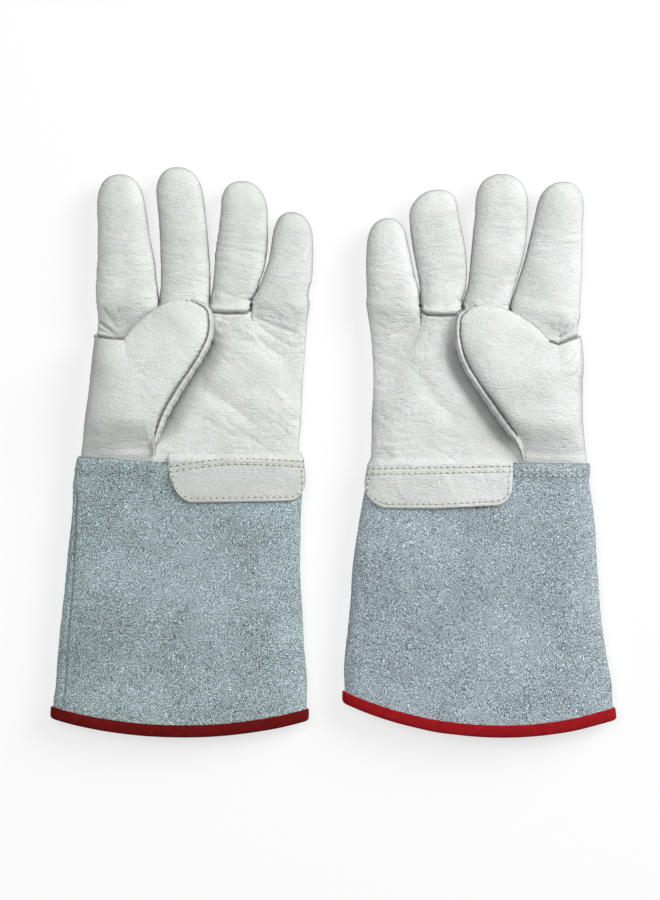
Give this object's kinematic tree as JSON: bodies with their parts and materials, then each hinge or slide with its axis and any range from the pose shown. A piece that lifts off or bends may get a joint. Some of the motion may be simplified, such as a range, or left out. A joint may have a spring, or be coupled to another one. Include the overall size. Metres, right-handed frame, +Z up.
{
  "type": "welding gloves",
  "caption": "Pair of leather welder's gauntlets with folded thumbs, wrist patches and flared suede cuffs, lying palm up; fingers and thumbs bend.",
  "frame": {"origin": "centre of the pair's footprint, on the plane that the gloves' backs rest on", "axes": "+Z up out of the palms, +Y toward the fingertips, +X from the left-hand glove toward the right-hand glove"},
  "size_m": [0.3466, 0.35, 0.0339],
  "materials": {
    "leather": "soft pebbled grain, off-white",
    "suede": "napped split leather, light blue-grey",
    "lining": "fleece",
    "binding": "woven tape, deep red",
    "thread": "twisted heat-resistant thread"
  },
  "bodies": {
    "left_glove": {"left_back_panel": "leather", "left_cuff_back": "suede", "left_cuff_front": "suede", "left_cuff_lining": "lining", "left_hand_lining": "lining", "left_hem_binding": "binding", "left_palm_panel": "leather", "left_patch_thread_edge": "thread", "left_patch_thread_lower": "thread", "left_patch_thread_upper": "thread", "left_thenar_panel": "leather", "left_wrist_patch": "leather"},
    "left_index": {"left_index_back": "leather", "left_index_front": "leather", "left_index_lining": "lining"},
    "left_middle": {"left_middle_back": "leather", "left_middle_front": "leather", "left_middle_lining": "lining"},
    "left_ring": {"left_ring_back": "leather", "left_ring_front": "leather", "left_ring_lining": "lining"},
    "left_little": {"left_little_back": "leather", "left_little_front": "leather", "left_little_lining": "lining"},
    "left_thumb": {"left_thumb_inner": "leather", "left_thumb_lining": "lining", "left_thumb_outer": "leather", "left_thumb_welt": "leather"},
    "right_glove": {"right_back_panel": "leather", "right_cuff_back": "suede", "right_cuff_front": "suede", "right_cuff_lining": "lining", "right_hand_lining": "lining", "right_hem_binding": "binding", "right_palm_panel": "leather", "right_patch_thread_edge": "thread", "right_patch_thread_lower": "thread", "right_patch_thread_upper": "thread", "right_thenar_panel": "leather", "right_wrist_patch": "leather"},
    "right_index": {"right_index_back": "leather", "right_index_front": "leather", "right_index_lining": "lining"},
    "right_middle": {"right_middle_back": "leather", "right_middle_front": "leather", "right_middle_lining": "lining"},
    "right_ring": {"right_ring_back": "leather", "right_ring_front": "leather", "right_ring_lining": "lining"},
    "right_little": {"right_little_back": "leather", "right_little_front": "leather", "right_little_lining": "lining"},
    "right_thumb": {"right_thumb_inner": "leather", "right_thumb_lining": "lining", "right_thumb_outer": "leather", "right_thumb_welt": "leather"}
  },
  "joints": [
    {"name": "left_index_flex", "type": "hinge", "parent": "left_glove", "child": "left_index", "pos_m": [-0.12685, 0.0929, 0.019], "axis": [0.9988, 0.0494, 0], "range_deg": [0, 80]},
    {"name": "left_middle_flex", "type": "hinge", "parent": "left_glove", "child": "left_middle", "pos_m": [-0.09105, 0.0947, 0.019], "axis": [0.9987, 0.0512, 0], "range_deg": [0, 80]},
    {"name": "left_ring_flex", "type": "hinge", "parent": "left_glove", "child": "left_ring", "pos_m": [-0.0606, 0.09425, 0.019], "axis": [0.9965, -0.0839, 0], "range_deg": [0, 80]},
    {"name": "left_little_flex", "type": "hinge", "parent": "left_glove", "child": "left_little", "pos_m": [-0.0294, 0.09155, 0.019], "axis": [0.9961, -0.0883, 0], "range_deg": [0, 80]},
    {"name": "left_thumb_open", "type": "hinge", "parent": "left_glove", "child": "left_thumb", "pos_m": [-0.119, 0.0334, 0.034], "axis": [0.2527, -0.9675, 0], "range_deg": [0, 100]},
    {"name": "right_glove_slide", "type": "slide", "parent": "left_glove", "child": "right_glove", "axis": [1, 0, 0], "range_m": [-0.015, 0.25]},
    {"name": "right_index_flex", "type": "hinge", "parent": "right_glove", "child": "right_index", "pos_m": [0.13085, 0.08655, 0.019], "axis": [0.9899, -0.1417, 0], "range_deg": [0, 80]},
    {"name": "right_middle_flex", "type": "hinge", "parent": "right_glove", "child": "right_middle", "pos_m": [0.0937, 0.09135, 0.019], "axis": [0.9941, -0.1083, 0], "range_deg": [0, 80]},
    {"name": "right_ring_flex", "type": "hinge", "parent": "right_glove", "child": "right_ring", "pos_m": [0.06355, 0.0925, 0.019], "axis": [0.9994, 0.0333, 0], "range_deg": [0, 80]},
    {"name": "right_little_flex", "type": "hinge", "parent": "right_glove", "child": "right_little", "pos_m": [0.034, 0.0913, 0.019], "axis": [0.9988, 0.0481, 0], "range_deg": [0, 80]},
    {"name": "right_thumb_open", "type": "hinge", "parent": "right_glove", "child": "right_thumb", "pos_m": [0.125, 0.03155, 0.034], "axis": [0.2054, 0.9787, 0], "range_deg": [0, 100]}
  ]
}
